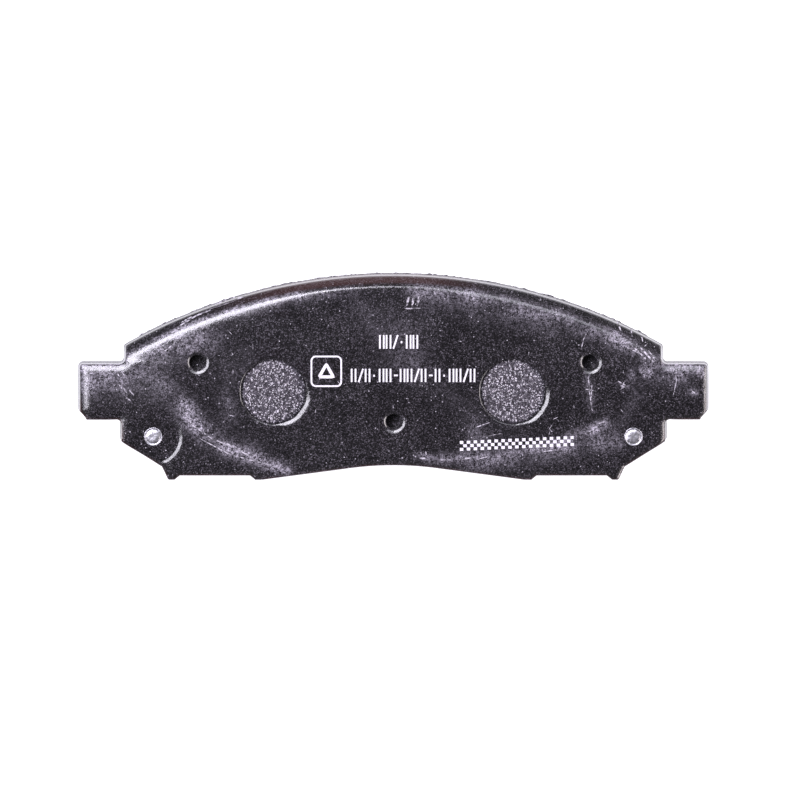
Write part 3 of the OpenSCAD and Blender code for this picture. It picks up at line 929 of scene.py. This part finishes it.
# Corners of the lining's right half; spread is how far out past the blocks' own edge.
def liningCorners(spread, fromX=0.0):
    inset = lining["inset"] - spread
    low = earY - plate["footY"] + lining["lowStep"] + inset
    end = rightRivet - acrossEnd * (lining["endGap"] - spread)
    lowX = plate["middleFootX"] * (1 - lining["lowStep"] / plate["hollowRise"])
    cornerX = end[0] + (low - end[1]) * math.tan(lining["lean"])
    arch = plate["archRadius"] - inset
    toAxis = end - np.array([0, archY])
    reach = -toAxis @ alongEnd + math.sqrt((toAxis @ alongEnd) ** 2 - toAxis @ toAxis + arch ** 2)
    top = end + alongEnd * reach
    return [
        *hollowCorners(inset, fromX),
        (lowX, low, 0),
        (cornerX, low, lining["cornerRound"]),
        (top[0], top[1], 0.5),
        *arcCorners(archY, arch, top[0] - 1.2, fromX),
    ]


def buildUnderlayer():
    piece = PieceMesh()
    loop = outlineFrom(mirrored(liningCorners(lining["flash"])), 0.8)
    normals = inwardNormals(loop)
    columns = [circleAt(c, keyHole["radius"] - lining["seatGap"], 110) for c in keyCentres]
    pockets = [circleAt(c, recess["knobRadius"] + lining["seatGap"], 48) for c in recessCentres]
    piece.sheet(liningZ, loop, columns + pockets)
    rings = [withZ(loop, liningZ)]
    for z in (10.0, 9.6, 9.1, 8.6):
        ring = withZ(loop, z)
        out = 0.1 * wobble(ring, 0.8, 12) + 0.12 * wobble(ring, 3, 13) - 0.06
        fringe = softStep(wobble(loop, 1.3, 61) + 0.6 * wobble(loop, 0.7, 62), 0.1, 0.6)
        out += (0.85 + 0.22 * fringe) * (normals[:, 1] < -0.7) * (z < 9.8)
        rings.append(withZ(loop - normals * out[:, None], z))
    rings.append(withZ(loop, blockZ))
    piece.band(rings)
    piece.sheet(blockZ, loop)
    pocketZ = blockZ + recess["knobLift"] - lining["seatGap"]
    for ring, centre in zip(pockets, recessCentres):
        piece.band([withZ(ring, liningZ), withZ(ring, pocketZ)])
        piece.cap(withZ(ring, pocketZ), (*centre, pocketZ))

    # Fillings: loose grains at the top, pulled down a little where they meet the hole's wall.
    topZ = backZ - lining["fillDepth"]
    for index, (ring, centre) in enumerate(zip(columns, keyCentres)):
        grains = scatter(ring, lining["grain"], margin=0.12, seed=20 + index)
        flat, faces = fillBetween(ring, (), grains)
        heaped = wobble(flat, 0.6, 30 + index) + 0.9 * wobble(flat, 0.34, 40 + index)
        heaped += 0.5 * wobble(flat, 3.2, 50)
        fromWall = keyHole["radius"] - awayFrom(flat, centre)
        height = topZ + lining["grainHeight"] * heaped - 0.35 * np.clip(1 - fromWall / 0.8, 0, 1) ** 2
        piece.add(withZ(flat, height), faces)
        order = [int(np.argmin(awayFrom(flat, p))) for p in ring]
        piece.band([withZ(ring, height[order]), withZ(ring, liningZ)])

    # Crumbs of moulding flash left along the arch: x, and length in mm.
    rng = np.random.default_rng(9)
    crumbs = [(-12.7, 1.8), (-11.2, 1.3), (-10.2, 0.9), (13.9, 1.1), (16.3, 0.9), (56.4, 1.2), (60.9, 1.2),
              (-44.0, 0.9), (-28.0, 0.8), (33.0, 0.8)]
    radius = plate["archRadius"] - lining["inset"] + lining["flash"] + 0.25
    for x, length in crumbs:
        blob = bmesh.new()
        bmesh.ops.create_icosphere(blob, subdivisions=2, radius=1.0)
        shape = np.array([v.co for v in blob.verts])
        corners = [[v.index for v in face.verts] for face in blob.faces]
        blob.free()
        shape = shape * (1 + 0.35 * wobble(shape * 2 + rng.uniform(0, 50), 1.0, 60))[:, None]
        shape = shape * (length / 2, 0.75, 0.55) + (x, archY + math.sqrt(radius ** 2 - x ** 2), 9.55)
        piece.add(shape, corners)
    made = piece.build("moulded_underlayer", underlayerMix, sharpAngle=60)
    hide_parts("underlayer")
    return made


underlayerPiece = buildUnderlayer()
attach(underlayerPiece, "root")

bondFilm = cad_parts["bond_film"]
for place in bondFilm.material_slots:
    place.material = adhesive
print("underlayer and adhesive made")


# A block of friction material, ground flat on its face, with a lead-in chamfer at its outer end.
def buildBlock(side):
    piece = PieceMesh()
    half = liningCorners(0.0, lining["slot"] / 2)
    loop = outlineFrom(half, 0.8)
    normals = inwardNormals(loop)

    def faceHeight(points):
        inFromEnd = (points - rightRivet) @ acrossEnd + lining["endGap"]
        lead = lining["leadHeight"] * (1 + inFromEnd / lining["leadWidth"])
        ground = 0.015 * wobble(points * (1, 0.12), 0.5, 14) + 0.03 * wobble(points, 1.1, 15)
        worn = edgeRound(distanceTo(points, loop), 0.35, 0.25)
        return np.maximum(lead, 0) + worn + np.where(distanceTo(points, loop) > 0.3, np.abs(ground), 0)

    rows = [loop + normals * d for d in (0.12, 0.35, 0.8)]
    breakAt = rightRivet - acrossEnd * (lining["endGap"] + lining["leadWidth"])
    for shift in (-0.15, 0.15):
        along = np.arange(-14, 40, 0.7)[:, None]
        rows.append(breakAt + acrossEnd * shift + alongEnd * along)
    extra = np.concatenate(rows)
    extra = extra[isInside(extra, loop)]
    extra = extra[distanceTo(extra, loop) > 0.1]
    piece.sheet(faceHeight, loop, (), np.concatenate([extra, scatter(loop, 1.1, margin=1.2, seed=16)]))
    low = faceHeight(loop)
    rings = [withZ(loop, low)]
    for t in (0.15, 0.35, 0.55, 0.75, 0.92):
        ring = withZ(loop, low + (blockZ - low) * t)
        out = 0.07 * wobble(ring, 0.9, 17) + 0.05 * wobble(ring, 2.6, 18)
        rings.append(withZ(loop - normals * out[:, None], ring[:, 2]))
    rings.append(withZ(loop, blockZ))
    piece.band(rings)
    piece.sheet(blockZ, loop)
    made = piece.build(f"friction_block_{side}", frictionMix, sharpAngle=50, mirror=side == "left")
    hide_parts(f"friction_segment_{side}")
    return made


# Wear indicator: a blanked strip, bent so that its tip reaches the disc when the lining is thin.
indicator = {
    "thickness": 1.0,
    "halfWidth": 3.9,
    "halfTip": 3.0,
    "flat": 5.5,
    "arm": 8.5,
    "slope": math.radians(9),
    "reach": 3.2,
    "edge": 0.12,
}


def buildIndicator(side):
    s = indicator
    armEnd = s["flat"] + s["arm"] * math.cos(s["slope"])
    fall = s["arm"] * math.sin(s["slope"])
    bends = [np.array([-s["halfWidth"], 0.0])]
    bends += roundCorner(bends[0], np.array([s["flat"], 0.0]), np.array([armEnd, -fall]), 3.0)
    bends += roundCorner(np.array([s["flat"], 0.0]), np.array([armEnd, -fall]),
                         np.array([armEnd, -s["reach"]]), 1.3, steps=10)
    bends.append(np.array([armEnd, -s["reach"]]))
    path = np.array(bends)
    runs = np.concatenate([[0], np.cumsum(np.linalg.norm(np.diff(path, axis=0), axis=1))]) - s["halfWidth"]
    total = runs[-1]

    # Local y along the strip becomes a place on the bent path, and depth goes in from its outer face.
    def bend(flat, depth):
        u = flat[:, 1]
        at = np.stack([np.interp(u, runs, path[:, k]) for k in (0, 1)], 1)
        ahead = np.stack([np.interp(u + 0.05, runs, path[:, k]) - np.interp(u - 0.05, runs, path[:, k])
                          for k in (0, 1)], 1)
        ahead = unitRows(ahead)
        down = np.stack([ahead[:, 1], -ahead[:, 0]], 1)
        at = at + down * depth
        inPlane = rightRivet + flat[:, :1] * acrossEnd + at[:, :1] * alongEnd
        return np.column_stack([inPlane, plateZ + at[:, 1]])

    roundEnd = [(s["halfWidth"] * math.cos(a), s["halfWidth"] * math.sin(a), 0)
                for a in np.linspace(-math.pi, 0, 40)]
    corners = roundEnd + [(s["halfWidth"], s["flat"], 2.0), (s["halfTip"], armEnd, 2.0),
                          (s["halfTip"], total, 1.0), (-s["halfTip"], total, 1.0),
                          (-s["halfTip"], armEnd, 2.0), (-s["halfWidth"], s["flat"], 2.0)]
    loop = outlineFrom(corners, 0.4)
    inner = loop + inwardNormals(loop) * s["edge"]
    hole = circleAt((0, 0), rivetHole["radius"], 48)
    piece = PieceMesh()
    grid = scatter(inner, 0.5, [(np.zeros(2), rivetHole["radius"])], seed=19)
    flat, faces = fillBetween(inner, [hole], grid)
    piece.add(bend(flat, 0), faces)
    piece.add(bend(flat, s["thickness"]), faces)
    piece.band([bend(inner, 0), bend(loop, s["edge"]), bend(loop, s["thickness"] / 2),
                bend(loop, s["thickness"] - s["edge"]), bend(inner, s["thickness"])])
    piece.band([bend(hole, 0), bend(hole, s["thickness"])])
    made = piece.build(f"bent_strip_{side}", strip, mirror=side == "left")
    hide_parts(f"wear_indicator_{side}")
    return made


# Rivet: its head under the strip, its end hammered over in the plate's countersink.
rivet = {"headRadius": 3.6, "headHeight": 1.1, "shank": 2.15, "end": 2.5, "disc": 1.85, "dent": 0.07}


def buildRivet(side, seatZ):
    r = rivet
    piece = PieceMesh()
    headZ = plateZ - indicator["thickness"] - r["headHeight"]
    head, shank, end, disc = r["headRadius"], r["shank"], r["end"], r["disc"]
    lower = [(1.2, 0), (2.4, 0), (head - 0.62, 0.02), (head - 0.5, 0.08), (head - 0.06, 0.48), (head, 0.6),
             (head, 1.0), (head - 0.08, 1.1), (shank + 0.1, 1.1), (shank, 1.2)]
    upper = [(shank, -0.75), (end - 0.1, -0.15), (end, -0.04), (end - 0.03, 0.06), (end - 0.16, 0.12),
             (end - 0.34, 0.08), (disc + 0.18, -0.03), (disc + 0.06, -0.04), (disc - 0.08, 0.04),
             (1.45, 0.10), (1.1, 0.13), (0.75, 0.14), (0.4, 0.15)]
    profile = [(radius, headZ + z) for radius, z in lower] + [(radius, seatZ + z) for radius, z in upper]
    rings = []
    for radius, z in profile:
        ring = withZ(circleAt(rightRivet, radius, 56), z)
        if z > seatZ - 0.1:
            facets = wobble(ring + (0, 0, 5 * (side == "left")), 0.9, 70) + 0.5 * wobble(ring, 0.45, 71)
            ring[:, 2] += np.clip(r["dent"] * facets, -0.09, 0.05)
        rings.append(ring)
    piece.band(rings)
    piece.cap(rings[0], (*rightRivet, headZ))
    piece.cap(rings[-1], (*rightRivet, rings[-1][:, 2].mean()))
    made = piece.build(f"hammered_rivet_{side}", zinc, sharpAngle=50, mirror=side == "left")
    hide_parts(f"rivet_{side}")
    return made


for side in ("left", "right"):
    seatZ = boxInMm(f"rivet_{side}")[1][2]
    for piece in (buildBlock(side), buildIndicator(side), buildRivet(side, seatZ)):
        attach(piece, "root")
print("blocks, strips and rivets made")


# Studio: a white floor, two strong soft lights from the left, weaker ones behind and to the right, and
# a black card overhead that keeps the flat enamel dark. Azimuth is from +X, polar angle from straight up.
studio = {
    "floorSize": 8.0,
    "cardSize": (1.5, 1.3),
    "cardPlace": (0.12, -0.15, 1.25),
    "world": 0.2,
    "softboxes": {          # size, azimuth, polar angle, distance, radiance and colour
        "key_softbox": ((0.55, 0.5), 122, 31, 1.15, 17, "#f6f3ff"),
        "left_softbox": ((0.36, 0.38), 176, 29, 1.15, 14, "#f6f3ff"),
        "rear_softbox": ((0.4, 0.34), 70, 31, 1.15, 4.5, "#f2f2ff"),
        "right_softbox": ((1.5, 0.42), -5, 58, 1.3, 9, "#fff6f8"),
    },
    "focalLength": 300.0,
    "distance": 1.792,
    "tilt": math.radians(6),
    "aim": (0.0018, -0.00595, 0.0165),
}


def flatCard(name, size, place, material):
    mesh = bpy.data.meshes.new(name)
    work = bmesh.new()
    bmesh.ops.create_grid(work, x_segments=1, y_segments=1, size=0.5)
    work.to_mesh(mesh)
    work.free()
    mesh.materials.append(material)
    card = addObject(name, mesh)
    card.scale = (*size, 1)
    card.location = place
    return card


def softbox(name, size, azimuth, polar, distance, radiance, colour):
    light = bpy.data.lights.new(name, "AREA")
    light.shape = "RECTANGLE"
    light.size, light.size_y = size
    light.energy = radiance * math.pi * light.size * light.size_y
    light.color = linear(colour)[:3]
    lamp = addObject(name, light)
    around, down = math.radians(azimuth), math.radians(polar)
    way = Vector((math.sin(down) * math.cos(around), math.sin(down) * math.sin(around), math.cos(down)))
    lamp.location = distance * way
    lamp.rotation_euler = (-way).to_track_quat("-Z", "Y").to_euler()
    lamp.visible_camera = False


def buildStudio():
    s = studio
    # Seamless white paper, lit past white.
    paper = withSurface(newMaterial("white_paper")[0], {
        "Base Color": "#a3a2a6", "Roughness": 0.9, "Emission Color": "#fbfaff", "Emission Strength": 1.05})
    flatCard("floor", (s["floorSize"], s["floorSize"]), (0, 0, 0), paper)
    # Black flocked card, which gives almost nothing back to the enamel.
    black = withSurface(newMaterial("black_card")[0], {"Base Color": "#0c0c0d", "Roughness": 0.9})
    overhead = flatCard("overhead_card", s["cardSize"], s["cardPlace"], black)
    overhead.visible_camera = False
    world = bpy.data.worlds.new("studio_room")
    world.use_nodes = True
    backdrop = world.node_tree.nodes["Background"]
    backdrop.inputs["Color"].default_value = linear("#e9e8ee")
    backdrop.inputs["Strength"].default_value = s["world"]
    bpy.context.scene.world = world
    for name, settings in s["softboxes"].items():
        softbox(name, *settings)

    camera = addObject("camera", bpy.data.cameras.new("camera"))
    camera.data.lens = s["focalLength"]
    camera.data.sensor_width = 36.0
    camera.data.clip_start = 0.05
    camera.data.clip_end = 20.0
    aim = Vector(s["aim"])
    camera.location = aim + s["distance"] * Vector((0, math.sin(s["tilt"]), math.cos(s["tilt"])))
    camera.rotation_euler = (-s["tilt"], 0, 0)
    bpy.context.scene.camera = camera
    bpy.context.scene.view_settings.view_transform = "Standard"


buildStudio()
print("studio made")
